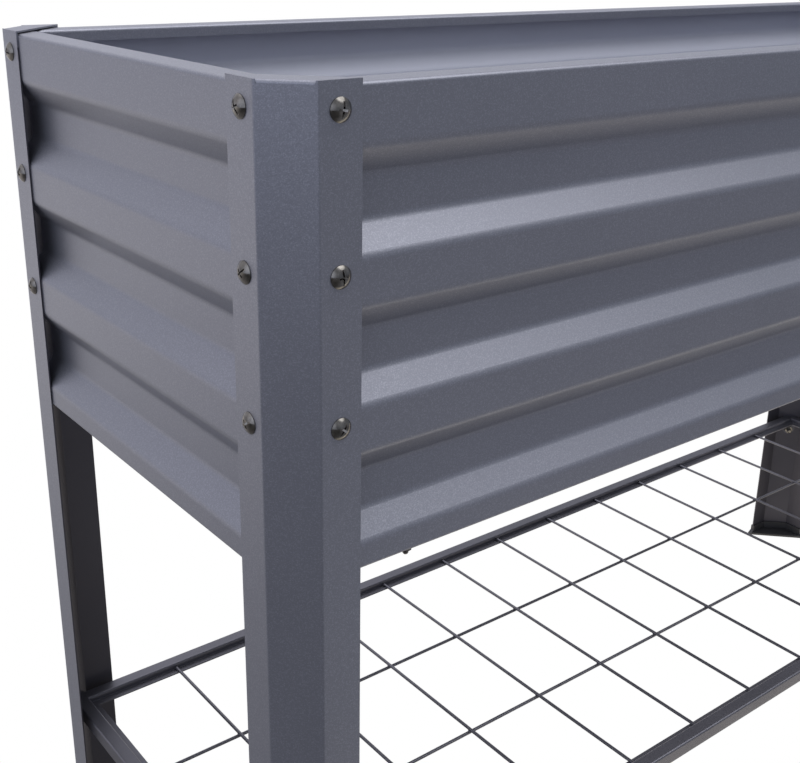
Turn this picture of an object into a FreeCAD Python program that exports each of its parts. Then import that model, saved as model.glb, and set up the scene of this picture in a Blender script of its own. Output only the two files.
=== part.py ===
import FreeCAD, Part
import math
import os

# Raised planter: a corrugated steel box on four folded corner legs, with a wire shelf below.
# Millimetres, +Z up, front towards -Y.  The origin is the middle of the footprint, on the ground.
# Corner pieces are drawn for the front left corner and mirrored to the other three.  There, a and b
# are the distances inward from the left and front outer faces of the legs.

# Overall size over the outer faces of the legs
LENGTH = 1160.0
DEPTH = 406.0
HEIGHT = 800.0

# Legs: flange, 45 degree chamfer, flange
LEG_SHEET = 1.2
FACE_GAP = 0.1
LEG_BEND = 1.6
CHAMFER = 24.5
FLANGE = 27.6
TAB_DROP = 2.4
TAB_SLIT = 0.2

# Foot caps
FOOT_BASE = 3.0
FOOT_WALL = 2.0
FOOT_HEIGHT = 13.0
NOSE_LENGTH = 6.0
NOSE_HEIGHT = 6.0
NOSE_TIP = 2.0

# Side panels
PANEL_SHEET = 0.8
PANEL_TOP = HEIGHT - 2.2
PANEL_HEIGHT = 291.4
PANEL_END = CHAMFER + 3.0
RIM_DEPTH = 23.0
RIM_DROP = 9.0
RIM_BEND = 2.0
VALLEYS = 3
VALLEY_PITCH = 89.7
VALLEY_DEPTH = 13.0
VALLEY_WIDTH = 61.0
VALLEY_SLOPE = 17.5
VALLEY_BEND = 8.0
FOOT_FLANGE = 18.0

# Panel screws: M6 truss heads in two columns on each leg
SCREW_ROWS = 3
SCREW_PITCH = 90.0
SCREW_TOP = HEIGHT - 15.5
SCREW_INSET = CHAMFER + 13.3
FIRST_VALLEY = SCREW_TOP - 20.7
M6_RADIUS = 3.0
M6_HEAD_RADIUS = 6.8
M6_HEAD_HEIGHT = 3.4
M6_NUT_FLATS = 10.0
M6_NUT_HEIGHT = 5.0
M6_LENGTH = 14.0
HOLE_PLAY = 0.3
THREAD_PLAY = 0.03
# Truss heads: shares of the head's height, then shares of its radius
HEAD_RIM = 0.16
SLOT_DEPTH = 0.36
CROSS_FLOOR = 0.28
SLOT_WIDTH = 0.18
CROSS_REACH = 0.46
CROSS_FOOT = 0.12
# Thread tips: share of the shank's radius, and how long the taper is
TIP_SHARE = 0.7
TIP_TAPER = 1.0
# Angles that each leg's six drives are left at, and how far they shift from leg to leg
DRIVE_TURNS = (80, 94, 55, 30, 130, 120)
DRIVE_SHIFT = 37

# Base of the planting box
BASE_SHEET = 0.8
BASE_INSET = 3.2
RIB_PITCH = 54.0
RIB_COUNT = 10
RIB_WIDTH = 24.0
RIB_TOP = 12.0
RIB_HEIGHT = 4.0
RIB_BEND = 2.0
SEAM_GAP = 1.0
DRAIN_RADIUS = 4.0
DRAIN_COLUMNS = (2, 4, 6, 8)
DRAIN_ROWS = (-110.0, 0.0, 110.0)
CROSSBAR_SHEET = 1.0
CROSSBAR_WIDTH = 30.0
CROSSBAR_HEIGHT = 12.0
TONGUE_INSET = 5.0
CROSSBAR_X = {"left": -5 * RIB_PITCH, "centre": 0.0, "right": 5 * RIB_PITCH}
M4_RADIUS = 2.0
M4_HEAD_RADIUS = 4.0
M4_HEAD_HEIGHT = 2.4
M4_NUT_FLATS = 7.0
M4_NUT_HEIGHT = 3.2
M4_TIP = 3.2
BASE_SCREW_X = (-9 * RIB_PITCH, -9.0, 9.0, 9 * RIB_PITCH)
BASE_SCREW_INSET = 9.0

# Shelf
SHELF_TOP = 194.0
SHELF_INSET = 8.0
RAIL_SHEET = 1.2
RAIL_BEND = 1.2
RAIL_WALL = 12.5
RAIL_TOP = 12.5
RAIL_STEP = 6.0
RAIL_LEDGE = 6.8
WIRE_RADIUS = 1.5
CROSS_WIRES = 12
CROSS_WIRE_PITCH = 85.4
CORNER_PLATE_SHEET = 1.5
CORNER_PLATE_WIDTH = 18.0
CORNER_PLATE_HEIGHT = 28.5
CORNER_PLATE_ROUND = 8.5
SHELF_BOLT_DROP = 20.9

# Cutters start this far outside the metal, and hole cutters are this long
CLEAR = 1.0
BORE = 5.0

Vector = FreeCAD.Vector
UP = Vector(0, 0, 1)
ROOT2 = math.sqrt(2)
LEG_REACH = CHAMFER + FLANGE
CORNER = Vector(-LENGTH / 2, -DEPTH / 2, 0)
CORNERS = {"front_left": (1, 1), "front_right": (-1, 1), "back_left": (1, -1), "back_right": (-1, -1)}
INNER_FACE = LEG_SHEET + FACE_GAP
PANEL_BOTTOM = PANEL_TOP - PANEL_HEIGHT
FLANGE_TOP = PANEL_BOTTOM + PANEL_SHEET
BASE_BOTTOM = FLANGE_TOP + CROSSBAR_SHEET
RAIL_LEDGE_TOP = SHELF_TOP - RAIL_STEP


# ---------------------------------------------------------------- outlines of bent sheet

def offset_path(path, distance):
    """The 2-D path moved sideways, to its left where the distance is positive."""
    normals = []
    for (x0, y0), (x1, y1) in zip(path, path[1:]):
        run = math.hypot(x1 - x0, y1 - y0)
        normals.append(((y0 - y1) / run, (x1 - x0) / run))
    moved = []
    for index, (x, y) in enumerate(path):
        before = normals[max(index - 1, 0)]
        after = normals[min(index, len(normals) - 1)]
        scale = distance / (1 + before[0] * after[0] + before[1] * after[1])
        moved.append((x + scale * (before[0] + after[0]), y + scale * (before[1] + after[1])))
    return moved


def turn_signs(path):
    """+1 where the 2-D path turns left, -1 where it turns right, 0 at its two ends."""
    signs = [0]
    for (x0, y0), (x1, y1), (x2, y2) in zip(path, path[1:], path[2:]):
        cross = (x1 - x0) * (y2 - y1) - (y1 - y0) * (x2 - x1)
        signs.append(1 if cross > 0 else -1)
    return signs + [0]


def rounded_wire(points, radii):
    """Closed wire through 3-D points in one plane, with a tangent arc at each corner that has a radius."""
    edges = []
    starts = []
    ends = []
    count = len(points)
    for index, (point, radius) in enumerate(zip(points, radii)):
        back = (points[index - 1] - point).normalize()
        ahead = (points[(index + 1) % count] - point).normalize()
        if radius <= 0:
            starts.append(point)
            ends.append(point)
            continue
        half = back.getAngle(ahead) / 2
        trim = radius / math.tan(half)
        starts.append(point + back * trim)
        ends.append(point + ahead * trim)
        middle = point + (back + ahead).normalize() * (radius / math.sin(half) - radius)
        edges.append(Part.Arc(starts[-1], middle, ends[-1]).toShape())
    for index in range(count):
        start = ends[index]
        end = starts[(index + 1) % count]
        if start.distanceToPoint(end) > 1e-6:
            edges.append(Part.LineSegment(start, end).toShape())
    return Part.Wire(Part.__sortEdges__(edges))


def bent_sheet(path, thickness, bends, to_3d):
    """Face of a sheet's cut end.  The path is its centre line, and bends are centre-line radii."""
    signs = turn_signs(path)
    outline = offset_path(path, thickness / 2) + offset_path(path, -thickness / 2)[::-1]
    left = [bend - sign * thickness / 2 if sign else 0 for bend, sign in zip(bends, signs)]
    right = [bend + sign * thickness / 2 if sign else 0 for bend, sign in zip(bends, signs)]
    return Part.Face(rounded_wire([to_3d(*point) for point in outline], left + right[::-1]))


def prism(outline, bottom, top):
    """Straight-sided solid over a plan outline given in corner coordinates."""
    points = [CORNER + Vector(a, b, bottom) for a, b in outline]
    return Part.Face(Part.makePolygon(points + points[:1])).extrude(UP * (top - bottom))


def cylinder(radius, start, direction, length):
    return Part.makeCylinder(radius, length, start, direction)


# ---------------------------------------------------------------- corner coordinates

def corner_point(a, b, z=0.0):
    return CORNER + Vector(a, b, z)


def corner_path(inset, reach):
    """Plan line that runs round the corner at an even inset from the leg's outer face."""
    bend = CHAMFER + (ROOT2 - 1) * inset
    return [(inset, reach), (inset, bend), (bend, inset), (reach, inset)]


def chamfer_point(along, inward, z):
    """A point given from the middle of the chamfer: along it, inward from its outer face, and up."""
    a = CHAMFER / 2 + (along + inward) / ROOT2
    b = CHAMFER / 2 + (inward - along) / ROOT2
    return corner_point(a, b, z)


def to_corner(shape, corner):
    """Mirrors a front left piece to the named corner."""
    flip_x, flip_y = CORNERS[corner]
    if flip_x < 0:
        shape = shape.mirror(Vector(0, 0, 0), Vector(1, 0, 0))
    if flip_y < 0:
        shape = shape.mirror(Vector(0, 0, 0), Vector(0, 1, 0))
    return shape


def screw_heights():
    return [SCREW_TOP - row * SCREW_PITCH for row in range(SCREW_ROWS)]


CHAMFER_OUT = Vector(-1, -1, 0).normalize()
CHAMFER_ALONG = Vector(1, -1, 0).normalize()


# ---------------------------------------------------------------- legs and feet

def leg():
    path = corner_path(LEG_SHEET / 2, LEG_REACH)
    bends = [LEG_BEND] * len(path)
    section = bent_sheet(path, LEG_SHEET, bends, lambda a, b: corner_point(a, b, FOOT_BASE))
    body = section.extrude(UP * (HEIGHT - FOOT_BASE))
    # Above the tab's fold the chamfer wall is cut away, clear of both flanges
    far = 2 * LEG_REACH
    fold_zone = prism([(LEG_SHEET, LEG_SHEET), (far, LEG_SHEET), (LEG_SHEET, far)],
                      HEIGHT - TAB_DROP, HEIGHT + CLEAR)
    body = body.cut(fold_zone)
    # The tab rises from the chamfer and folds inward over the corner, up to the line between the
    # two free edges
    rise = [(LEG_SHEET / 2, HEIGHT - TAB_DROP), (LEG_SHEET / 2, HEIGHT - LEG_SHEET / 2),
            (LEG_REACH, HEIGHT - LEG_SHEET / 2)]
    tab = bent_sheet(rise, LEG_SHEET, [LEG_BEND] * 3, lambda n, z: chamfer_point(-LEG_REACH, n, z))
    tab = tab.extrude(CHAMFER_ALONG * 2 * LEG_REACH)
    side = LEG_SHEET + TAB_SLIT
    tab = tab.common(prism([(side, side), (LEG_REACH, side), (side, LEG_REACH)],
                           HEIGHT - TAB_DROP, HEIGHT + CLEAR))
    body = body.fuse(tab).removeSplitter()
    hole = M6_RADIUS + HOLE_PLAY
    for z in screw_heights():
        body = body.cut(cylinder(hole, corner_point(SCREW_INSET, -CLEAR, z), Vector(0, 1, 0), BORE))
        body = body.cut(cylinder(hole, corner_point(-CLEAR, SCREW_INSET, z), Vector(1, 0, 0), BORE))
    bolt = chamfer_point(0, -CLEAR, SHELF_TOP - SHELF_BOLT_DROP)
    return body.cut(cylinder(hole, bolt, -CHAMFER_OUT, BORE))


def foot_cap():
    """Moulded shoe: a floor under the corner, walls either side of the sheet, a sloped nose at each end."""
    end = LEG_REACH + FACE_GAP
    nose = end + NOSE_LENGTH
    inner = LEG_SHEET + FOOT_WALL
    outer_line = corner_path(-FOOT_WALL, nose)
    floor = prism(outer_line + [(nose, inner), (inner, nose)], 0, FOOT_BASE)
    walls = prism(outer_line + corner_path(inner, nose)[::-1], 0, FOOT_HEIGHT)
    slot_line = corner_path(-FACE_GAP, end) + corner_path(LEG_SHEET + FACE_GAP, end)[::-1]
    body = floor.fuse(walls).removeSplitter().cut(prism(slot_line, FOOT_BASE, FOOT_HEIGHT + CLEAR))
    # Past the leg's free edges the walls drop to the noses
    start = -FOOT_WALL - CLEAR
    width = inner - start + CLEAR
    above = [(end, NOSE_HEIGHT), (nose, NOSE_TIP), (nose + CLEAR, NOSE_TIP),
             (nose + CLEAR, FOOT_HEIGHT + CLEAR), (end, FOOT_HEIGHT + CLEAR)]
    front = [corner_point(reach, start, z) for reach, z in above]
    side = [corner_point(start, reach, z) for reach, z in above]
    body = body.cut(Part.Face(Part.makePolygon(front + front[:1])).extrude(Vector(0, width, 0)))
    return body.cut(Part.Face(Part.makePolygon(side + side[:1])).extrude(Vector(width, 0, 0)))


# ---------------------------------------------------------------- side panels

def panel_path():
    """Centre line of a panel's section: inset from the legs' outer face, and height."""
    crest = INNER_FACE + PANEL_SHEET / 2
    valley = crest + VALLEY_DEPTH
    top = PANEL_TOP - PANEL_SHEET / 2
    bottom = PANEL_BOTTOM + PANEL_SHEET / 2
    rim = INNER_FACE + RIM_DEPTH - PANEL_SHEET / 2
    path = [(rim, PANEL_TOP - RIM_DROP), (rim, top), (crest, top)]
    bends = [0, RIM_BEND, RIM_BEND]
    for index in range(VALLEYS):
        start = FIRST_VALLEY - index * VALLEY_PITCH
        end = start - VALLEY_WIDTH
        path += [(crest, start), (valley, start - VALLEY_SLOPE), (valley, end + VALLEY_SLOPE), (crest, end)]
        bends += [VALLEY_BEND] * 4
    path += [(crest, bottom), (INNER_FACE + FOOT_FLANGE, bottom)]
    bends += [RIM_BEND, 0]
    return path, bends


def long_panel():
    """Front panel, with the screw holes of both legs and of the base."""
    path, bends = panel_path()
    section = bent_sheet(path, PANEL_SHEET, bends, lambda inset, z: corner_point(PANEL_END, inset, z))
    body = section.extrude(Vector(LENGTH - 2 * PANEL_END, 0, 0))
    for z in screw_heights():
        for a in (SCREW_INSET, LENGTH - SCREW_INSET):
            body = body.cut(cylinder(M6_RADIUS + HOLE_PLAY, corner_point(a, 0, z), Vector(0, 1, 0), BORE))
    for x in BASE_SCREW_X:
        start = corner_point(x + LENGTH / 2, BASE_SCREW_INSET, PANEL_BOTTOM - CLEAR)
        body = body.cut(cylinder(M4_RADIUS + HOLE_PLAY, start, UP, BORE))
    return body


def short_panel():
    """Left panel, with the screw holes of both legs."""
    path, bends = panel_path()
    section = bent_sheet(path, PANEL_SHEET, bends, lambda inset, z: corner_point(inset, PANEL_END, z))
    body = section.extrude(Vector(0, DEPTH - 2 * PANEL_END, 0))
    for z in screw_heights():
        for b in (SCREW_INSET, DEPTH - SCREW_INSET):
            body = body.cut(cylinder(M6_RADIUS + HOLE_PLAY, corner_point(0, b, z), Vector(1, 0, 0), BORE))
    return body


# ---------------------------------------------------------------- base of the box

def base_sheet():
    """Right half of the base, ribbed across, with drain holes between the ribs."""
    low = BASE_BOTTOM + BASE_SHEET / 2
    high = low + RIB_HEIGHT
    path = [(SEAM_GAP / 2, low)]
    for index in range(RIB_COUNT):
        middle = (index + 0.5) * RIB_PITCH
        path += [(middle - RIB_WIDTH / 2, low), (middle - RIB_TOP / 2, high),
                 (middle + RIB_TOP / 2, high), (middle + RIB_WIDTH / 2, low)]
    path.append((LENGTH / 2 - BASE_INSET, low))
    front = -DEPTH / 2 + BASE_INSET
    section = bent_sheet(path, BASE_SHEET, [RIB_BEND] * len(path), lambda x, z: Vector(x, front, z))
    body = section.extrude(Vector(0, DEPTH - 2 * BASE_INSET, 0))
    # The outer corners are cut at 45 degrees to clear the leg chamfers
    cut = CHAMFER + LEG_SHEET * ROOT2 + 2 * LEG_SHEET
    block = prism([(0, 0), (cut, 0), (0, cut)], BASE_BOTTOM - CLEAR, BASE_BOTTOM + 2 * RIB_HEIGHT)
    for corner in ("front_right", "back_right"):
        body = body.cut(to_corner(block, corner))
    for column in DRAIN_COLUMNS:
        for y in DRAIN_ROWS:
            start = Vector(column * RIB_PITCH, y, BASE_BOTTOM - CLEAR)
            body = body.cut(cylinder(DRAIN_RADIUS, start, UP, BORE))
    for x in BASE_SCREW_X:
        for y in base_screw_rows():
            body = body.cut(cylinder(M4_RADIUS + HOLE_PLAY, Vector(x, y, BASE_BOTTOM - CLEAR), UP, BORE))
    return body


def crossbar(x):
    """Channel under the base.  Its web runs on as a flat tongue over both panels' bottom flanges."""
    half = CROSSBAR_WIDTH / 2
    inner = half - CROSSBAR_SHEET / 2
    top = FLANGE_TOP + CROSSBAR_SHEET / 2
    bottom = FLANGE_TOP + CROSSBAR_SHEET - CROSSBAR_HEIGHT
    clear = INNER_FACE + FOOT_FLANGE + CLEAR
    path = [(x - inner, bottom), (x - inner, top), (x + inner, top), (x + inner, bottom)]
    bends = [CROSSBAR_SHEET] * len(path)
    start = -DEPTH / 2 + clear
    channel = bent_sheet(path, CROSSBAR_SHEET, bends, lambda across, z: Vector(across, start, z))
    channel = channel.extrude(Vector(0, DEPTH - 2 * clear, 0))
    tongue_width = CROSSBAR_WIDTH - 3 * CROSSBAR_SHEET
    tongue = Part.makeBox(tongue_width, DEPTH - 2 * TONGUE_INSET, CROSSBAR_SHEET,
                          Vector(x - tongue_width / 2, -DEPTH / 2 + TONGUE_INSET, FLANGE_TOP))
    body = channel.fuse(tongue).removeSplitter()
    for screw_x in BASE_SCREW_X:
        for y in base_screw_rows():
            start = Vector(screw_x, y, FLANGE_TOP - CLEAR)
            body = body.cut(cylinder(M4_RADIUS + HOLE_PLAY, start, UP, BORE))
    return body


def base_screw_rows():
    return (-DEPTH / 2 + BASE_SCREW_INSET, DEPTH / 2 - BASE_SCREW_INSET)


# ---------------------------------------------------------------- shelf

def rail_path():
    """Centre line of a shelf rail's section: outer wall, top, step down and ledge."""
    half = RAIL_SHEET / 2
    outer = SHELF_INSET + half
    step = SHELF_INSET + RAIL_TOP - half
    top = SHELF_TOP - half
    ledge = RAIL_LEDGE_TOP - half
    return [(outer, SHELF_TOP - RAIL_WALL), (outer, top), (step, top), (step, ledge),
            (SHELF_INSET + RAIL_TOP + RAIL_LEDGE, ledge)]


def rail(to_3d, run, plan):
    """A rail swept along its run and trimmed to its plan outline, mitred where two rails meet."""
    path = rail_path()
    body = bent_sheet(path, RAIL_SHEET, [RAIL_BEND] * len(path), to_3d).extrude(run)
    return body.common(prism(plan, SHELF_TOP - 2 * RAIL_WALL, SHELF_TOP + CLEAR))


def long_rail():
    square = CHAMFER + (INNER_FACE + CORNER_PLATE_SHEET) * ROOT2
    plan = [(square, 0), (LENGTH - square, 0), (LENGTH - square / 2, square / 2),
            (LENGTH - DEPTH / 2, DEPTH / 2), (DEPTH / 2, DEPTH / 2), (square / 2, square / 2)]
    return rail(lambda inset, z: corner_point(0, inset, z), Vector(LENGTH, 0, 0), plan)


def short_rail():
    square = CHAMFER + (INNER_FACE + CORNER_PLATE_SHEET) * ROOT2
    plan = [(0, square), (0, DEPTH - square), (square / 2, DEPTH - square / 2),
            (DEPTH / 2, DEPTH / 2), (square / 2, square / 2)]
    return rail(lambda inset, z: corner_point(inset, 0, z), Vector(0, DEPTH, 0), plan)


def corner_plate():
    """Upright plate that closes the shelf's cut corner and takes the bolt through the chamfer."""
    half = CORNER_PLATE_WIDTH / 2
    bottom = SHELF_TOP - CORNER_PLATE_HEIGHT
    outline = [(-half, SHELF_TOP), (half, SHELF_TOP), (half, bottom), (-half, bottom)]
    points = [chamfer_point(along, INNER_FACE, z) for along, z in outline]
    face = Part.Face(rounded_wire(points, [0, 0, CORNER_PLATE_ROUND, CORNER_PLATE_ROUND]))
    body = face.extrude(-CHAMFER_OUT * CORNER_PLATE_SHEET)
    start = chamfer_point(0, 0, SHELF_TOP - SHELF_BOLT_DROP)
    return body.cut(cylinder(M6_RADIUS + HOLE_PLAY, start, -CHAMFER_OUT, BORE))


def cross_wires():
    """Wires across the depth, lying on the front and back ledges."""
    inset = SHELF_INSET + RAIL_TOP + 0.5
    length = DEPTH - 2 * inset
    z = RAIL_LEDGE_TOP + WIRE_RADIUS
    wires = []
    for index in range(CROSS_WIRES):
        x = (index - (CROSS_WIRES - 1) / 2) * CROSS_WIRE_PITCH
        wires.append(cylinder(WIRE_RADIUS, Vector(x, -length / 2, z), Vector(0, 1, 0), length))
    return Part.makeCompound(wires)


def long_wire(side):
    """Wire along the length, under the cross wires, butted to the end rails' ledges."""
    inset = SHELF_INSET + RAIL_TOP + RAIL_LEDGE
    length = LENGTH - 2 * inset
    bay = (DEPTH - 2 * (SHELF_INSET + RAIL_TOP)) / 3
    start = Vector(-length / 2, side * bay / 2, RAIL_LEDGE_TOP - WIRE_RADIUS)
    return cylinder(WIRE_RADIUS, start, Vector(1, 0, 0), length)


# ---------------------------------------------------------------- fasteners

def truss_screw(radius, head_radius, head_height, length, turn):
    """Domed screw along Z: seat at z = 0, head above, shank below.  The drive is a slot and a cross."""
    rim = head_height * HEAD_RIM
    crown = (head_radius ** 2 + (head_height - rim) ** 2) / (2 * (head_height - rim))
    lift = math.radians(45) * head_radius / crown
    middle = Vector(crown * math.sin(lift), 0, head_height - crown + crown * math.cos(lift))
    corners = [Vector(0, 0, -length), Vector(radius * TIP_SHARE, 0, -length),
               Vector(radius, 0, -length + TIP_TAPER),
               Vector(radius, 0, 0), Vector(head_radius, 0, 0), Vector(head_radius, 0, rim)]
    edges = [Part.LineSegment(p, q).toShape() for p, q in zip(corners, corners[1:])]
    edges.append(Part.Arc(corners[-1], middle, Vector(0, 0, head_height)).toShape())
    edges.append(Part.LineSegment(Vector(0, 0, head_height), corners[0]).toShape())
    body = Part.Face(Part.Wire(edges)).revolve(Vector(0, 0, 0), UP, 360)
    width = head_radius * SLOT_WIDTH
    slot = Part.makeBox(2 * head_radius, width, head_height,
                        Vector(-head_radius, -width / 2, head_height * (1 - SLOT_DEPTH)))
    reach = head_radius * CROSS_REACH
    foot = head_radius * CROSS_FOOT
    low = head_height * CROSS_FLOOR
    wing_points = [Vector(-reach, -width / 2, head_height), Vector(reach, -width / 2, head_height),
                   Vector(foot, -width / 2, low), Vector(-foot, -width / 2, low)]
    wing = Part.Face(Part.makePolygon(wing_points + wing_points[:1])).extrude(Vector(0, width, 0))
    crossing = wing.copy()
    crossing.rotate(Vector(0, 0, 0), UP, 90)
    body = body.cut(slot).cut(wing).cut(crossing)
    body.rotate(Vector(0, 0, 0), UP, turn)
    return body


def hex_nut(radius, flats, height):
    """Nut along Z from z = 0 down, with its corners taken off by a cone at both ends."""
    corner_radius = flats / math.sqrt(3)
    points = [Vector(corner_radius * math.cos(math.radians(60 * k)),
                     corner_radius * math.sin(math.radians(60 * k)), -height) for k in range(7)]
    body = Part.Face(Part.makePolygon(points)).extrude(UP * height)
    edge = flats / 2
    drop = (corner_radius - edge) * math.tan(math.radians(30))
    profile = [Vector(0, 0, -height), Vector(edge, 0, -height), Vector(corner_radius, 0, -height + drop),
               Vector(corner_radius, 0, -drop), Vector(edge, 0, 0), Vector(0, 0, 0)]
    envelope = Part.Face(Part.makePolygon(profile + profile[:1])).revolve(Vector(0, 0, 0), UP, 360)
    bore = cylinder(radius + THREAD_PLAY, Vector(0, 0, -height - CLEAR), UP, height + 2 * CLEAR)
    return body.common(envelope).cut(bore)


def seat(shape, point, outward):
    """Turns a fastener's +Z to the outward direction and sets its seat on the point."""
    placed = shape.copy()
    placed.Placement = FreeCAD.Placement(point, FreeCAD.Rotation(UP, outward)).multiply(shape.Placement)
    return placed


def panel_screw_seats():
    """Seat points and outward directions of one leg's panel screws."""
    front = [(corner_point(SCREW_INSET, 0, z), Vector(0, -1, 0)) for z in screw_heights()]
    side = [(corner_point(0, SCREW_INSET, z), Vector(-1, 0, 0)) for z in screw_heights()]
    return front + side


def panel_screws(corner_index):
    screws = []
    for (point, outward), turn in zip(panel_screw_seats(), DRIVE_TURNS):
        screw = truss_screw(M6_RADIUS, M6_HEAD_RADIUS, M6_HEAD_HEIGHT, M6_LENGTH,
                            turn + DRIVE_SHIFT * corner_index)
        screws.append(seat(screw, point, outward))
    return Part.makeCompound(screws)


def panel_nuts():
    grip = INNER_FACE + PANEL_SHEET
    nut = hex_nut(M6_RADIUS, M6_NUT_FLATS, M6_NUT_HEIGHT)
    return Part.makeCompound([seat(nut, point - outward * grip, outward)
                              for point, outward in panel_screw_seats()])


def shelf_bolt(corner_index):
    screw = truss_screw(M6_RADIUS, M6_HEAD_RADIUS, M6_HEAD_HEIGHT, M6_LENGTH, DRIVE_SHIFT * corner_index)
    return seat(screw, chamfer_point(0, 0, SHELF_TOP - SHELF_BOLT_DROP), CHAMFER_OUT)


def shelf_nut():
    nut = hex_nut(M6_RADIUS, M6_NUT_FLATS, M6_NUT_HEIGHT)
    point = chamfer_point(0, INNER_FACE + CORNER_PLATE_SHEET, SHELF_TOP - SHELF_BOLT_DROP)
    return seat(nut, point, CHAMFER_OUT)


def base_screws():
    """Screws down through the base and the panels' bottom flanges."""
    length = BASE_BOTTOM + BASE_SHEET - PANEL_BOTTOM + M4_NUT_HEIGHT + M4_TIP
    screws = []
    for index, x in enumerate(BASE_SCREW_X):
        for y in base_screw_rows():
            screw = truss_screw(M4_RADIUS, M4_HEAD_RADIUS, M4_HEAD_HEIGHT, length, DRIVE_SHIFT * index)
            screw.translate(Vector(x, y, BASE_BOTTOM + BASE_SHEET))
            screws.append(screw)
    return Part.makeCompound(screws)


def base_nuts():
    nuts = []
    for x in BASE_SCREW_X:
        for y in base_screw_rows():
            nut = hex_nut(M4_RADIUS, M4_NUT_FLATS, M4_NUT_HEIGHT)
            nut.translate(Vector(x, y, PANEL_BOTTOM))
            nuts.append(nut)
    return Part.makeCompound(nuts)


# ---------------------------------------------------------------- the assembly

def build():
    nodes = {}
    for index, corner in enumerate(CORNERS):
        nodes["leg_" + corner] = to_corner(leg(), corner)
        nodes["foot_cap_" + corner] = to_corner(foot_cap(), corner)
        nodes["panel_screws_" + corner] = to_corner(panel_screws(index), corner)
        nodes["panel_nuts_" + corner] = to_corner(panel_nuts(), corner)
        nodes["shelf_corner_plate_" + corner] = to_corner(corner_plate(), corner)
    nodes["front_panel"] = long_panel()
    nodes["back_panel"] = to_corner(long_panel(), "back_left")
    nodes["left_panel"] = short_panel()
    nodes["right_panel"] = to_corner(short_panel(), "front_right")
    nodes["base_sheet_right"] = base_sheet()
    nodes["base_sheet_left"] = to_corner(base_sheet(), "front_right")
    for side, x in CROSSBAR_X.items():
        nodes["base_crossbar_" + side] = crossbar(x)
    nodes["base_screws"] = base_screws()
    nodes["base_nuts"] = base_nuts()
    nodes["shelf_rail_front"] = long_rail()
    nodes["shelf_rail_back"] = to_corner(long_rail(), "back_left")
    nodes["shelf_rail_left"] = short_rail()
    nodes["shelf_rail_right"] = to_corner(short_rail(), "front_right")
    nodes["shelf_cross_wires"] = cross_wires()
    nodes["shelf_long_wire_front"] = long_wire(-1)
    nodes["shelf_long_wire_back"] = long_wire(1)
    bolts = [to_corner(shelf_bolt(index), corner) for index, corner in enumerate(CORNERS)]
    nuts = [to_corner(shelf_nut(), corner) for corner in CORNERS]
    nodes["shelf_bolts"] = Part.makeCompound(bolts)
    nodes["shelf_nuts"] = Part.makeCompound(nuts)
    return nodes


def main():
    os.makedirs("parts", exist_ok=True)
    for name, shape in build().items():
        shape.exportStep(os.path.join("parts", name + ".step"))
        box = shape.BoundBox
        print("%-32s %9.1f mm3  %7.1f %7.1f %7.1f  valid %s" % (
            name, shape.Volume, box.XLength, box.YLength, box.ZLength, shape.isValid()))


main()
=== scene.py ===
import math

import bmesh
import bpy
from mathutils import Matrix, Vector, noise


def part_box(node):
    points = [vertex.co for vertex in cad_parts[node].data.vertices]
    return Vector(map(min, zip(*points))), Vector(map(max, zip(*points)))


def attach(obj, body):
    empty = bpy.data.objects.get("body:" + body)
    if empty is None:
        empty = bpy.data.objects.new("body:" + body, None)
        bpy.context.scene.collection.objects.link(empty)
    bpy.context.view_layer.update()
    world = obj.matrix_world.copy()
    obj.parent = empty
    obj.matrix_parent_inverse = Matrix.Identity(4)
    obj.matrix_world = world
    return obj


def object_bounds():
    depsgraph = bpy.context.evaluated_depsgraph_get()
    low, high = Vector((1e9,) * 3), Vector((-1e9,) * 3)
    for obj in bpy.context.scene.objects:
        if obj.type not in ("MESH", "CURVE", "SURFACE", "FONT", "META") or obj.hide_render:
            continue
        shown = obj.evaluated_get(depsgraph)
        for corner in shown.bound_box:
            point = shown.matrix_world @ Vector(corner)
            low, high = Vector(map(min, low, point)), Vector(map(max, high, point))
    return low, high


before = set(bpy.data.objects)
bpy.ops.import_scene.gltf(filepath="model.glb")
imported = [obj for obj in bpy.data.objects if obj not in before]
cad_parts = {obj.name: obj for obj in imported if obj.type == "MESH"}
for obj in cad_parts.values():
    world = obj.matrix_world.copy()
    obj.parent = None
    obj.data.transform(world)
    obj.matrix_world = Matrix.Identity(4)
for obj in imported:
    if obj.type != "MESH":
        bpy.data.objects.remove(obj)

# Looks for the raised planter.  Metres, +Z up, front towards -Y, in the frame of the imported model.

cad_low, cad_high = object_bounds()

# Sign of x and of y at each corner of the planter
CORNERS = {"front_left": (-1, -1), "front_right": (1, -1), "back_left": (-1, 1), "back_right": (1, 1)}

# Camera: place, turn about X, Y and Z in degrees, lens and sensor in millimetres
CAMERA_PLACE = (-0.8828, -0.6879, 0.8693)
CAMERA_TURN = (69.946, -0.960, -37.960)
CAMERA_LENS = 50.98
CAMERA_SENSOR = 36.0
CAMERA_SHIFT = (-0.0011, -0.0400)
CAMERA_CLIP = 0.05

# Noise textures: the part of the output that is spread over a range of values
NOISE_RANGE = (0.3, 0.7)
NOISE_ROUGHNESS = 0.55

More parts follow.
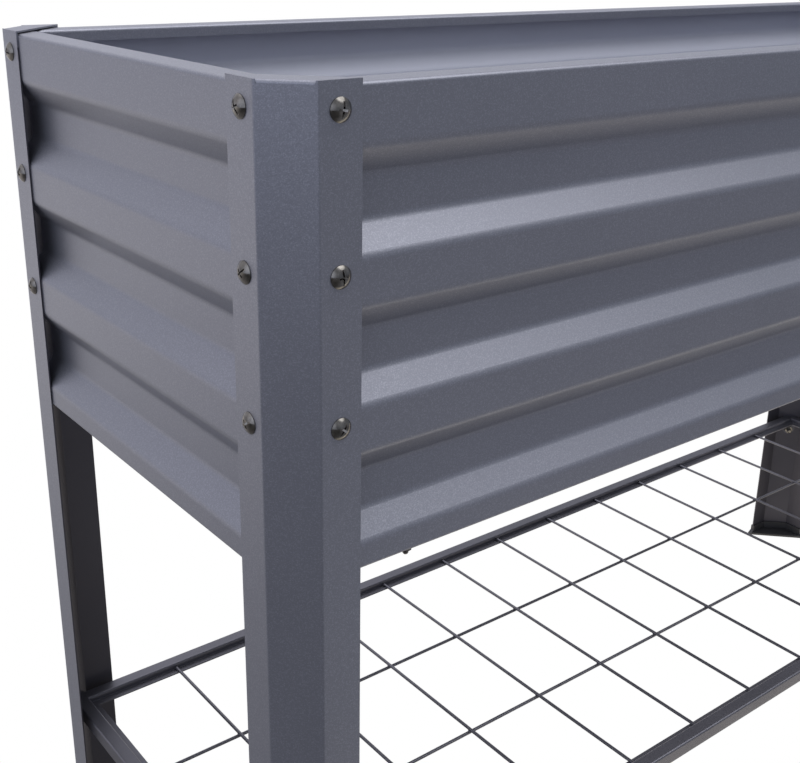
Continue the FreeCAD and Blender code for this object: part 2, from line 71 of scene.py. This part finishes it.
# Metallic coat: darker and lighter colour, sizes of its textures as cells per metre
COAT_METAL = 0.65
COAT_COLOURS = ((0.247, 0.252, 0.288, 1), (0.263, 0.266, 0.304, 1))
COAT_RUBBED = (0.50, 0.50, 0.54, 1)
COAT_RUBBED_SHARE = 0.25
COAT_RUBBED_WIDTH = 0.0007
COAT_WORN_GRAIN = (0.35, 0.6)
COAT_WORN_SHARE = (0.2, 1.0)
COAT_ROUGH = (0.38, 0.43)
COAT_GRAIN_ROUGH = (-0.03, 0.03)
COAT_CLOUD_SCALE = 5.0
COAT_GRAIN_SCALE = 900.0
COAT_PEEL_SCALE = 420.0
COAT_PEEL_BUMP = 0.12
FLAKE_SCALE = 1700.0
FLAKE_TILT = 0.06
FLAKE_BRIGHTEST = (0.60, 1.0)
FLAKE_LIGHT = (0.97, 1.22)

# Inner faces of the sheets: painted shade on the legs (darker), painted light on the panels (paler, and
# less metallic)
LEG_INSIDE_PAINTED_SHADE = ((0.076, 0.073, 0.087, 1), (0.098, 0.094, 0.109, 1))
PANEL_INSIDE_PAINTED_LIGHT = ((0.47, 0.48, 0.55, 1), (0.50, 0.51, 0.58, 1))
PANEL_REVERSE_METAL = 0.15
REVERSE_ROUGHER = 0.08
REVERSE_FACING = (-0.75, -0.3)
RIM_REACH = 0.0115

# Charcoal coat of the shelf
CHARCOAL_METAL = 0.75
CHARCOAL_COLOURS = ((0.128, 0.127, 0.146, 1), (0.148, 0.146, 0.166, 1))
CHARCOAL_RUBBED = (0.26, 0.26, 0.28, 1)
CHARCOAL_RUBBED_SHARE = 0.3
CHARCOAL_RUBBED_WIDTH = 0.0006
CHARCOAL_ROUGH = (0.36, 0.46)
CHARCOAL_CLOUD_SCALE = 14.0
CHARCOAL_GRAIN_SCALE = 1100.0
CHARCOAL_PEEL_SCALE = 600.0
CHARCOAL_PEEL_BUMP = 0.2

# Nickel plate of the screws and nuts
NICKEL_COLOURS = ((0.135, 0.127, 0.115, 1), (0.25, 0.235, 0.215, 1))
NICKEL_RUBBED = (0.60, 0.58, 0.54, 1)
NICKEL_RUBBED_SHARE = 0.5
NICKEL_RUBBED_WIDTH = 0.0003
NICKEL_ROUGH = (0.10, 0.22)
NICKEL_SMEAR_SCALE = 260.0
NICKEL_SMEAR_RANGE = (0.35, 0.65)
NICKEL_SMEAR_BUMP = 0.1

# Black plastic of the foot caps
PLASTIC_COLOURS = ((0.022, 0.022, 0.024, 1), (0.034, 0.034, 0.036, 1))
PLASTIC_ROUGH = (0.42, 0.58)
PLASTIC_GRAIN_SCALE = 1500.0
PLASTIC_GRAIN_BUMP = 0.3

# Depth of the fine bumps in metres, and the cosines between which an edge is rubbed
COAT_BUMP_DEPTH = 0.0002
NICKEL_BUMP_DEPTH = 0.0001
EDGE_SAMPLES = 6
EDGE_COSINES = (0.66, 0.90)

# Spot welds: width and height in wire radii
CROSS_WIRES = 12
CROSSING_WELD = (1.25, 0.55)
LEDGE_WELD = (1.15, 0.45)
LEDGE_WELD_INSET = 3
END_WELD = (1.2, 0.9)
NUGGET_UNEVEN = 0.16
NUGGET_WAVES = 2.3
NUGGET_VARIETY = 700.0

# Weld beads
BEAD_RADIUS = 0.0011
BEAD_STEP = 0.0004
BEAD_LEAST_STEPS = 6
BEAD_SIDES = 12
BEAD_TIP = 0.35
BEAD_TAPER = 5.0
BEAD_RIPPLE = 0.0016
BEAD_RIPPLE_RISE = 0.20
BEAD_WOBBLE = 0.12
BEAD_WOBBLE_SCALE = 900.0
MITRE_BEAD_RADIUS = 0.7 * BEAD_RADIUS
MITRE_START = 0.0245
MITRE_END = 0.0302
RAIL_SHEET = 0.0012
PLATE_SKEW = 0.00106

# M6 threads of the panel screws
SCREW_ROWS = 3
HEAD_RADIUS = 0.0068
THREAD_START = 0.0073
THREAD_LENGTH = 0.0056
THREAD_PITCH = 0.001
THREAD_ROOT = 0.0028
THREAD_RISE = 0.0005
THREAD_HALF_WIDTH = 0.42
THREAD_FADE = 8.0
THREAD_STEPS = 20

# Floor: tones, and the stretches in metres over which one tone fades into the next
WHITE = (1, 1, 1, 1)
FLOOR_HALF = 6.0
FLOOR_SHADE = (0.06, 0.06, 0.06, 1)
FLOOR_NEAR = (1.45, 1.34, 1.18, 1)
FLOOR_FRONT = (0.33, 0.34, 0.38, 1)
FLOOR_LEFT = (0.14, 0.14, 0.15, 1)
FLOOR_RIGHT = (0.25, 0.25, 0.28, 1)
FLOOR_BACK = (0.90, 0.87, 0.88, 1)
SHADE_FADE = (-0.12, 0.02)
BACK_FADE = (-0.5, 2.2)
NEAR_FADE = (-0.5, -0.22)
LEFT_FADE = (-0.7, -0.1)
RIGHT_FADE = (0.0, 1.6)

# Room: tones of wall and ceiling, the rise of direction over which they fade, and panels of light as
# azimuth from +X, elevation, half-angles where the panel begins to fade and where it ends, all in
# degrees, and colour
ROOM_WALL = (0.29, 0.32, 0.38, 1)
ROOM_CEILING = (0.45, 0.47, 0.52, 1)
CEILING_FADE = (0.0, 0.8)
PANELS = {
    "backdrop": (100, 15, 15, 90, (0.38, 0.36, 0.38)),
    "left": (200, 12, 10, 55, (0.60, 0.64, 0.78)),
    "key": (325, 58, 12, 32, (2.5, 2.5, 2.55)),
    "overhead": (90, 76, 18, 44, (1.05, 1.05, 1.1)),
}


# ---------------------------------------------------------------- node helpers

def feed(tree, socket, value):
    """Links an output socket to an input, or sets the input's own value."""
    if isinstance(value, bpy.types.NodeSocket):
        tree.links.new(value, socket)
    else:
        socket.default_value = value


def node(tree, kind, inputs=None, **settings):
    """Adds a shader node.  An input is a number, a colour, or another node's output socket."""
    made = tree.nodes.new(kind)
    for name, value in settings.items():
        setattr(made, name, value)
    for name, value in (inputs or {}).items():
        feed(tree, made.inputs[name], value)
    return made


def math_node(tree, operation, *values):
    return node(tree, "ShaderNodeMath", dict(enumerate(values)), operation=operation).outputs[0]


def vector_node(tree, operation, *values):
    return node(tree, "ShaderNodeVectorMath", dict(enumerate(values)), operation=operation).outputs[0]


def dot_product(tree, first, second):
    made = node(tree, "ShaderNodeVectorMath", {0: first, 1: second}, operation="DOT_PRODUCT")
    return made.outputs["Value"]


def scaled(tree, vector, factor):
    made = node(tree, "ShaderNodeVectorMath", {0: vector, "Scale": factor}, operation="SCALE")
    return made.outputs[0]


def part_of(tree, vector, axis):
    return node(tree, "ShaderNodeSeparateXYZ", {0: vector}).outputs[axis]


def surface_normal(tree):
    return node(tree, "ShaderNodeNewGeometry").outputs["Normal"]


def remap(tree, value, start, end, smooth=False):
    """Maps the range start onto the range end; values beyond start stay at the ends."""
    inputs = {"Value": value, "From Min": start[0], "From Max": start[1],
              "To Min": end[0], "To Max": end[1]}
    kind = "SMOOTHSTEP" if smooth else "LINEAR"
    return node(tree, "ShaderNodeMapRange", inputs, interpolation_type=kind, clamp=True).outputs["Result"]


def noise_value(tree, place, scale, detail):
    inputs = {"Vector": place, "Scale": scale, "Detail": detail, "Roughness": NOISE_ROUGHNESS}
    return node(tree, "ShaderNodeTexNoise", inputs).outputs["Fac"]


def mix_colour(tree, share, first, second, blend="MIX"):
    made = node(tree, "ShaderNodeMix", data_type="RGBA", blend_type=blend)
    for name, value in (("Factor", share), ("A", first), ("B", second)):
        # The node keeps hidden sockets of the same name for its other data types
        feed(tree, next(s for s in made.inputs if s.name == name and s.enabled), value)
    return next(s for s in made.outputs if s.enabled)


def new_material(name, **sockets):
    """Principled material with its uniform values on the shader's own sockets."""
    material = bpy.data.materials.new(name)
    material.use_nodes = True
    tree = material.node_tree
    shader = tree.nodes["Principled BSDF"]
    for socket, value in sockets.items():
        shader.inputs[socket].default_value = value
    place = node(tree, "ShaderNodeTexCoord").outputs["Object"]
    return material, tree, shader, place


def flake_normal(tree, place):
    """Normal tilted a little, at random, in each flake-sized cell, and the cells' random colours."""
    cells = node(tree, "ShaderNodeTexVoronoi", {"Vector": place, "Scale": FLAKE_SCALE}, feature="F1")
    centred = vector_node(tree, "SUBTRACT", cells.outputs["Color"], (0.5, 0.5, 0.5))
    tilted = vector_node(tree, "ADD", surface_normal(tree), scaled(tree, centred, FLAKE_TILT))
    return vector_node(tree, "NORMALIZE", tilted), cells.outputs["Color"]


def edge_share(tree, radius):
    """0 on flat metal, rising to 1 along the edges that handling and packing rub."""
    bevel = node(tree, "ShaderNodeBevel", {"Radius": radius}, samples=EDGE_SAMPLES).outputs[0]
    cosine = dot_product(tree, bevel, surface_normal(tree))
    return remap(tree, cosine, EDGE_COSINES, (1.0, 0.0), smooth=True)


def inner_side(tree, place):
    """1 on the inner face of a bent sheet, below the rolled rims, where it faces the planter's middle:
    the mask of the painted shade and painted light on inner faces.
    """
    corner = vector_node(tree, "MULTIPLY", vector_node(tree, "SIGN", place), (1.0, 1.0, 0.0))
    facing = dot_product(tree, surface_normal(tree), corner)
    below_rim = math_node(tree, "LESS_THAN", part_of(tree, place, "Z"), cad_high.z - RIM_REACH)
    return math_node(tree, "MULTIPLY", remap(tree, facing, REVERSE_FACING, (1.0, 0.0)), below_rim)


# ---------------------------------------------------------------- materials

def metallic_coat(name, painted_inside_tones=None, reverse_metal=0.0):
    """Blue-grey powder coat with fine metal flake, semi-gloss, slightly rubbed at the edges.  The
    inner faces of a sheet can take two given colours, painted shade on the legs and painted light on the
    panels, and a metallic value of their own."""
    material, tree, shader, place = new_material(name, Metallic=COAT_METAL)
    cloud = noise_value(tree, place, COAT_CLOUD_SCALE, detail=4.0)
    patchy = remap(tree, cloud, NOISE_RANGE, (0.0, 1.0))
    grain = noise_value(tree, place, COAT_GRAIN_SCALE, detail=2.0)
    normal, cells = flake_normal(tree, place)
    sparkle = node(tree, "ShaderNodeSeparateColor", {"Color": cells}).outputs[0]
    light = remap(tree, sparkle, FLAKE_BRIGHTEST, FLAKE_LIGHT)
    colour = mix_colour(tree, 1.0, mix_colour(tree, patchy, *COAT_COLOURS), light, "MULTIPLY")
    worn = remap(tree, grain, COAT_WORN_GRAIN, COAT_WORN_SHARE)
    edge = math_node(tree, "MULTIPLY", edge_share(tree, COAT_RUBBED_WIDTH), worn)
    edge = math_node(tree, "MULTIPLY", edge, COAT_RUBBED_SHARE)
    colour = mix_colour(tree, edge, colour, COAT_RUBBED)
    rough = math_node(tree, "ADD", remap(tree, cloud, NOISE_RANGE, COAT_ROUGH),
                      remap(tree, grain, NOISE_RANGE, COAT_GRAIN_ROUGH))
    # Inner faces: painted shade (legs) and painted light (panels) replace the coat's colour there
    if painted_inside_tones:
        inside = inner_side(tree, place)
        colour = mix_colour(tree, inside, colour, mix_colour(tree, patchy, *painted_inside_tones))
        rough = math_node(tree, "ADD", rough, math_node(tree, "MULTIPLY", inside, REVERSE_ROUGHER))
        metal = remap(tree, inside, (0.0, 1.0), (COAT_METAL, reverse_metal))
        tree.links.new(metal, shader.inputs["Metallic"])
    tree.links.new(colour, shader.inputs["Base Color"])
    tree.links.new(rough, shader.inputs["Roughness"])
    peel = noise_value(tree, place, COAT_PEEL_SCALE, detail=2.0)
    relief = {"Strength": COAT_PEEL_BUMP, "Distance": COAT_BUMP_DEPTH, "Height": peel, "Normal": normal}
    tree.links.new(node(tree, "ShaderNodeBump", relief).outputs[0], shader.inputs["Normal"])
    return material


def charcoal_coat():
    """Charcoal powder coat: satin, with a fine orange peel and paler rubbed corners."""
    material, tree, shader, place = new_material("charcoal_coat", Metallic=CHARCOAL_METAL)
    cloud = noise_value(tree, place, CHARCOAL_CLOUD_SCALE, detail=3.0)
    grain = noise_value(tree, place, CHARCOAL_GRAIN_SCALE, detail=2.0)
    colour = mix_colour(tree, remap(tree, cloud, NOISE_RANGE, (0.0, 1.0)), *CHARCOAL_COLOURS)
    edge = math_node(tree, "MULTIPLY", edge_share(tree, CHARCOAL_RUBBED_WIDTH), CHARCOAL_RUBBED_SHARE)
    tree.links.new(mix_colour(tree, edge, colour, CHARCOAL_RUBBED), shader.inputs["Base Color"])
    tree.links.new(remap(tree, grain, NOISE_RANGE, CHARCOAL_ROUGH), shader.inputs["Roughness"])
    peel = noise_value(tree, place, CHARCOAL_PEEL_SCALE, detail=2.0)
    relief = {"Strength": CHARCOAL_PEEL_BUMP, "Distance": COAT_BUMP_DEPTH, "Height": peel}
    tree.links.new(node(tree, "ShaderNodeBump", relief).outputs[0], shader.inputs["Normal"])
    return material


def plated_steel():
    """Dark nickel plate, dulled unevenly by handling."""
    material, tree, shader, place = new_material("plated_steel", Metallic=1.0)
    smear = noise_value(tree, place, NICKEL_SMEAR_SCALE, detail=4.0)
    colour = mix_colour(tree, remap(tree, smear, NICKEL_SMEAR_RANGE, (0.0, 1.0)), *NICKEL_COLOURS)
    edge = math_node(tree, "MULTIPLY", edge_share(tree, NICKEL_RUBBED_WIDTH), NICKEL_RUBBED_SHARE)
    tree.links.new(mix_colour(tree, edge, colour, NICKEL_RUBBED), shader.inputs["Base Color"])
    tree.links.new(remap(tree, smear, NOISE_RANGE, NICKEL_ROUGH), shader.inputs["Roughness"])
    relief = {"Strength": NICKEL_SMEAR_BUMP, "Distance": NICKEL_BUMP_DEPTH, "Height": smear}
    tree.links.new(node(tree, "ShaderNodeBump", relief).outputs[0], shader.inputs["Normal"])
    return material


def foot_plastic():
    """Black moulded plastic with a fine spark-eroded texture."""
    material, tree, shader, place = new_material("foot_plastic")
    grain = noise_value(tree, place, PLASTIC_GRAIN_SCALE, detail=3.0)
    tree.links.new(mix_colour(tree, grain, *PLASTIC_COLOURS), shader.inputs["Base Color"])
    tree.links.new(remap(tree, grain, NOISE_RANGE, PLASTIC_ROUGH), shader.inputs["Roughness"])
    relief = {"Strength": PLASTIC_GRAIN_BUMP, "Distance": COAT_BUMP_DEPTH, "Height": grain}
    tree.links.new(node(tree, "ShaderNodeBump", relief).outputs[0], shader.inputs["Normal"])
    return material


def paint_cad_nodes():
    """Gives each CAD node the procedural material of the first kind that its name starts with."""
    kinds = (("foot_cap_", "foot_plastic"), ("panel_screws_", "plated_steel"),
             ("panel_nuts_", "plated_steel"), ("base_screws", "plated_steel"),
             ("base_nuts", "plated_steel"), ("shelf_bolts", "plated_steel"),
             ("shelf_nuts", "plated_steel"), ("shelf_", "charcoal_coat"), ("leg_", "leg_coat"),
             ("base_", "metallic_coat"), ("", "panel_coat"))
    for name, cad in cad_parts.items():
        coat = next(coat for start, coat in kinds if name.startswith(start))
        cad.data.materials.clear()
        cad.data.materials.append(materials[coat])


# ---------------------------------------------------------------- small pieces that the solids leave out

def new_piece(name, bm, slot):
    mesh = bpy.data.meshes.new(name)
    bmesh.ops.recalc_face_normals(bm, faces=bm.faces)
    bm.to_mesh(mesh)
    bm.free()
    for face in mesh.polygons:
        face.use_smooth = True
    piece = bpy.data.objects.new(name, mesh)
    bpy.context.scene.collection.objects.link(piece)
    mesh.materials.append(materials[slot])
    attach(piece, "root")


def cross_axes(along):
    """Two directions square to a unit direction and to each other."""
    side = along.orthogonal().normalized()
    return side, along.cross(side)


def add_tube(bm, rings):
    """Closed tube through rings of points, capped at both ends."""
    loops = [[bm.verts.new(point) for point in ring] for ring in rings]
    count = len(loops[0])
    for first, second in zip(loops, loops[1:]):
        for k in range(count):
            following = (k + 1) % count
            bm.faces.new((first[k], first[following], second[following], second[k]))
    bm.faces.new(loops[0][::-1])
    bm.faces.new(loops[-1])


def add_nugget(bm, centre, wire_radius, proportions):
    """Flattened spot weld with an uneven rim."""
    width, height = (proportion * wire_radius for proportion in proportions)
    made = bmesh.ops.create_icosphere(bm, subdivisions=3, radius=1.0)
    for vert in made["verts"]:
        uneven = 1.0 + NUGGET_UNEVEN * noise.noise(vert.co * NUGGET_WAVES + centre * NUGGET_VARIETY)
        vert.co = centre + Vector((vert.co.x * width, vert.co.y * width, vert.co.z * height)) * uneven


def add_bead(bm, start, end, radius):
    """Weld bead: overlapping ripples along a line, tapered at both ends."""
    run = end - start
    side, up = cross_axes(run.normalized())
    steps = max(BEAD_LEAST_STEPS, round(run.length / BEAD_STEP))
    rings = []
    for step in range(steps + 1):
        share = step / steps
        taper = min(1.0, BEAD_TIP + BEAD_TAPER * min(share, 1.0 - share))
        ripple = 1.0 + BEAD_RIPPLE_RISE * abs(math.sin(math.pi * share * run.length / BEAD_RIPPLE))
        centre = start + run * share
        wobble = 1.0 + BEAD_WOBBLE * noise.noise(centre * BEAD_WOBBLE_SCALE)
        reach = radius * taper * ripple * wobble
        rings.append([centre + (side * math.cos(turn) + up * math.sin(turn)) * reach
                      for turn in (2 * math.pi * k / BEAD_SIDES for k in range(BEAD_SIDES))])
    add_tube(bm, rings)


def add_thread(bm, start, direction):
    """Helical ridge of an M6 thread, from start outward."""
    side, up = cross_axes(direction)
    turns = THREAD_LENGTH / THREAD_PITCH
    steps = round(turns * THREAD_STEPS)
    rings = []
    for step in range(steps + 1):
        share = step / steps
        fade = min(1.0, THREAD_FADE * share, THREAD_FADE * (1.0 - share))
        turn = 2 * math.pi * turns * share
        outward = side * math.cos(turn) + up * math.sin(turn)
        centre = start + direction * (THREAD_LENGTH * share)
        root = centre + outward * THREAD_ROOT
        half = direction * (THREAD_HALF_WIDTH * THREAD_PITCH * fade)
        rings.append([root - half, centre + outward * (THREAD_ROOT + THREAD_RISE * fade), root + half])
    add_tube(bm, rings)


def shelf_spot_welds():
    """Spot welds where the wires cross and where they lie on a ledge."""
    low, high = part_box("shelf_cross_wires")
    radius = (high.z - low.z) / 2
    front_low, front_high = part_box("shelf_long_wire_front")
    back_low, back_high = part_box("shelf_long_wire_back")
    long_rows = [(front_low.y + front_high.y) / 2, (back_low.y + back_high.y) / 2]
    spots = bmesh.new()
    for index in range(CROSS_WIRES):
        x = low.x + radius + (high.x - low.x - 2 * radius) * index / (CROSS_WIRES - 1)
        for y in long_rows:
            add_nugget(spots, Vector((x, y, low.z)), radius, CROSSING_WELD)
        for y in (low.y + LEDGE_WELD_INSET * radius, high.y - LEDGE_WELD_INSET * radius):
            add_nugget(spots, Vector((x, y, low.z)), radius, LEDGE_WELD)
    for y in long_rows:
        for x in (front_low.x, front_high.x):
            add_nugget(spots, Vector((x, y, front_high.z - radius)), radius, END_WELD)
    new_piece("shelf_spot_welds", spots, "charcoal_coat")


def shelf_weld_beads():
    """Beads where the rails meet the corner plates, and along the mitres of the ledges."""
    beads = bmesh.new()
    rail_low, rail_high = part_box("shelf_rail_front")
    wall_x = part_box("shelf_rail_right")[1].x - RAIL_SHEET
    wall_y = -rail_low.y - RAIL_SHEET
    ledge_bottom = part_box("shelf_cross_wires")[0].z - RAIL_SHEET
    for corner, (x_side, y_side) in CORNERS.items():
        # The plate's inner face lies where |x| + |y| = plate_sum, and meets the rails' inner faces
        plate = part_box("shelf_corner_plate_" + corner)
        plate_sum = min(abs(end.x) for end in plate) + max(abs(end.y) for end in plate) - PLATE_SKEW
        for x, y in ((plate_sum - wall_y, wall_y), (wall_x, plate_sum - wall_x)):
            foot = Vector((x_side * x, y_side * y, rail_low.z + BEAD_RADIUS))
            top = Vector((x_side * x, y_side * y, rail_high.z - 2 * BEAD_RADIUS))
            add_bead(beads, foot, top, BEAD_RADIUS)
        # Under the ledges, from the rails' step to the ledges' inner corner
        step, tip = (Vector((x_side * (cad_high.x - inset), y_side * (cad_high.y - inset), ledge_bottom))
                     for inset in (MITRE_START, MITRE_END))
        add_bead(beads, step, tip, MITRE_BEAD_RADIUS)
    new_piece("shelf_weld_beads", beads, "charcoal_coat")


def screw_threads():
    """Threads on the ends of the panel screws, where they pass their nuts inside the box."""
    threads = bmesh.new()
    for corner, (x_side, y_side) in CORNERS.items():
        low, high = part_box("panel_screws_" + corner)
        leg_low, leg_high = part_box("leg_" + corner)
        rise = high.z - low.z - 2 * HEAD_RADIUS
        rows = [low.z + HEAD_RADIUS + rise * row / (SCREW_ROWS - 1) for row in range(SCREW_ROWS)]
        long_x = (high.x - HEAD_RADIUS) if x_side < 0 else (low.x + HEAD_RADIUS)
        side_y = (high.y - HEAD_RADIUS) if y_side < 0 else (low.y + HEAD_RADIUS)
        seat_x = leg_high.x if x_side > 0 else leg_low.x
        seat_y = leg_high.y if y_side > 0 else leg_low.y
        for z in rows:
            for seat, inward in ((Vector((long_x, seat_y, z)), Vector((0, -y_side, 0))),
                                 (Vector((seat_x, side_y, z)), Vector((-x_side, 0, 0)))):
                add_thread(threads, seat + inward * THREAD_START, inward)
    new_piece("panel_screw_threads", threads, "plated_steel")


# ---------------------------------------------------------------- studio

def floor_light(tree, place):
    """What the metal sees in the floor: shade under the planter, dull in front, brighter behind."""
    x, y = (part_of(tree, place, axis) for axis in "XY")
    beyond_x = math_node(tree, "SUBTRACT", math_node(tree, "ABSOLUTE", x), cad_high.x)
    beyond_y = math_node(tree, "SUBTRACT", math_node(tree, "ABSOLUTE", y), cad_high.y)
    beyond = math_node(tree, "MAXIMUM", beyond_x, beyond_y)
    open_floor = remap(tree, beyond, SHADE_FADE, (0.0, 1.0), smooth=True)
    behind = remap(tree, y, BACK_FADE, (0.0, 1.0), smooth=True)
    near = remap(tree, y, NEAR_FADE, (0.0, 1.0), smooth=True)
    left = remap(tree, x, LEFT_FADE, (1.0, 0.0), smooth=True)
    right = remap(tree, x, RIGHT_FADE, (0.0, 1.0), smooth=True)
    front_tone = mix_colour(tree, left, FLOOR_FRONT, FLOOR_LEFT)
    front_tone = mix_colour(tree, right, front_tone, FLOOR_RIGHT)
    beside = math_node(tree, "MULTIPLY", near, math_node(tree, "SUBTRACT", 1.0, left))
    front_tone = mix_colour(tree, beside, front_tone, FLOOR_NEAR)
    tone = mix_colour(tree, behind, front_tone, FLOOR_BACK)
    return mix_colour(tree, open_floor, FLOOR_SHADE, tone)


def white_to_camera(tree, colour):
    """The colour to every ray but the camera's own, which sees white."""
    seen = node(tree, "ShaderNodeLightPath").outputs["Is Camera Ray"]
    return mix_colour(tree, seen, colour, WHITE)


def studio_floor():
    """White to the camera, pale and unevenly lit to the metal."""
    mesh = bpy.data.meshes.new("floor")
    corners = [(x * FLOOR_HALF, y * FLOOR_HALF, 0) for x, y in ((-1, -1), (1, -1), (1, 1), (-1, 1))]
    mesh.from_pydata(corners, [], [(0, 1, 2, 3)])
    floor = bpy.data.objects.new("floor", mesh)
    bpy.context.scene.collection.objects.link(floor)
    floor.location.z = cad_low.z
    material = bpy.data.materials.new("floor")
    material.use_nodes = True
    tree = material.node_tree
    tree.nodes.clear()
    place = node(tree, "ShaderNodeTexCoord").outputs["Object"]
    glow = node(tree, "ShaderNodeEmission", {"Color": white_to_camera(tree, floor_light(tree, place))})
    output = node(tree, "ShaderNodeOutputMaterial")
    tree.links.new(glow.outputs[0], output.inputs["Surface"])
    mesh.materials.append(material)


def light_direction(azimuth, elevation):
    turn, lift = math.radians(azimuth), math.radians(elevation)
    return (math.cos(lift) * math.cos(turn), math.cos(lift) * math.sin(turn), math.sin(lift))


def studio_world():
    """A dim room with soft panels of light round it, and white to the camera."""
    world = bpy.data.worlds.new("studio")
    bpy.context.scene.world = world
    world.use_nodes = True
    tree = world.node_tree
    direction = node(tree, "ShaderNodeTexCoord").outputs["Generated"]
    rise = remap(tree, part_of(tree, direction, "Z"), CEILING_FADE, (0.0, 1.0))
    colour = mix_colour(tree, rise, ROOM_WALL, ROOM_CEILING)
    for azimuth, elevation, inner, outer, light in PANELS.values():
        facing = dot_product(tree, direction, light_direction(azimuth, elevation))
        fade = (math.cos(math.radians(outer)), math.cos(math.radians(inner)))
        glow = scaled(tree, light, remap(tree, facing, fade, (0.0, 1.0), smooth=True))
        colour = mix_colour(tree, 1.0, colour, glow, "ADD")
    background = tree.nodes["Background"]
    tree.links.new(white_to_camera(tree, colour), background.inputs["Color"])


def studio_camera():
    camera = bpy.data.objects.new("camera", bpy.data.cameras.new("camera"))
    bpy.context.scene.collection.objects.link(camera)
    camera.location = CAMERA_PLACE
    camera.rotation_euler = [math.radians(turn) for turn in CAMERA_TURN]
    camera.data.sensor_width = CAMERA_SENSOR
    camera.data.lens = CAMERA_LENS
    camera.data.shift_x, camera.data.shift_y = CAMERA_SHIFT
    camera.data.clip_start = CAMERA_CLIP
    bpy.context.scene.camera = camera


materials = {
    "metallic_coat": metallic_coat("metallic_coat"),
    # Legs: inner faces darkened as painted shade
    "leg_coat": metallic_coat("leg_coat", LEG_INSIDE_PAINTED_SHADE, COAT_METAL),
    # Panels: inner faces paler and less metallic as painted light
    "panel_coat": metallic_coat("panel_coat", PANEL_INSIDE_PAINTED_LIGHT, PANEL_REVERSE_METAL),
    "charcoal_coat": charcoal_coat(),
    "plated_steel": plated_steel(),
    "foot_plastic": foot_plastic(),
}
paint_cad_nodes()
shelf_spot_welds()
shelf_weld_beads()
screw_threads()
studio_floor()
studio_world()
studio_camera()
bpy.context.scene.view_settings.view_transform = "Standard"
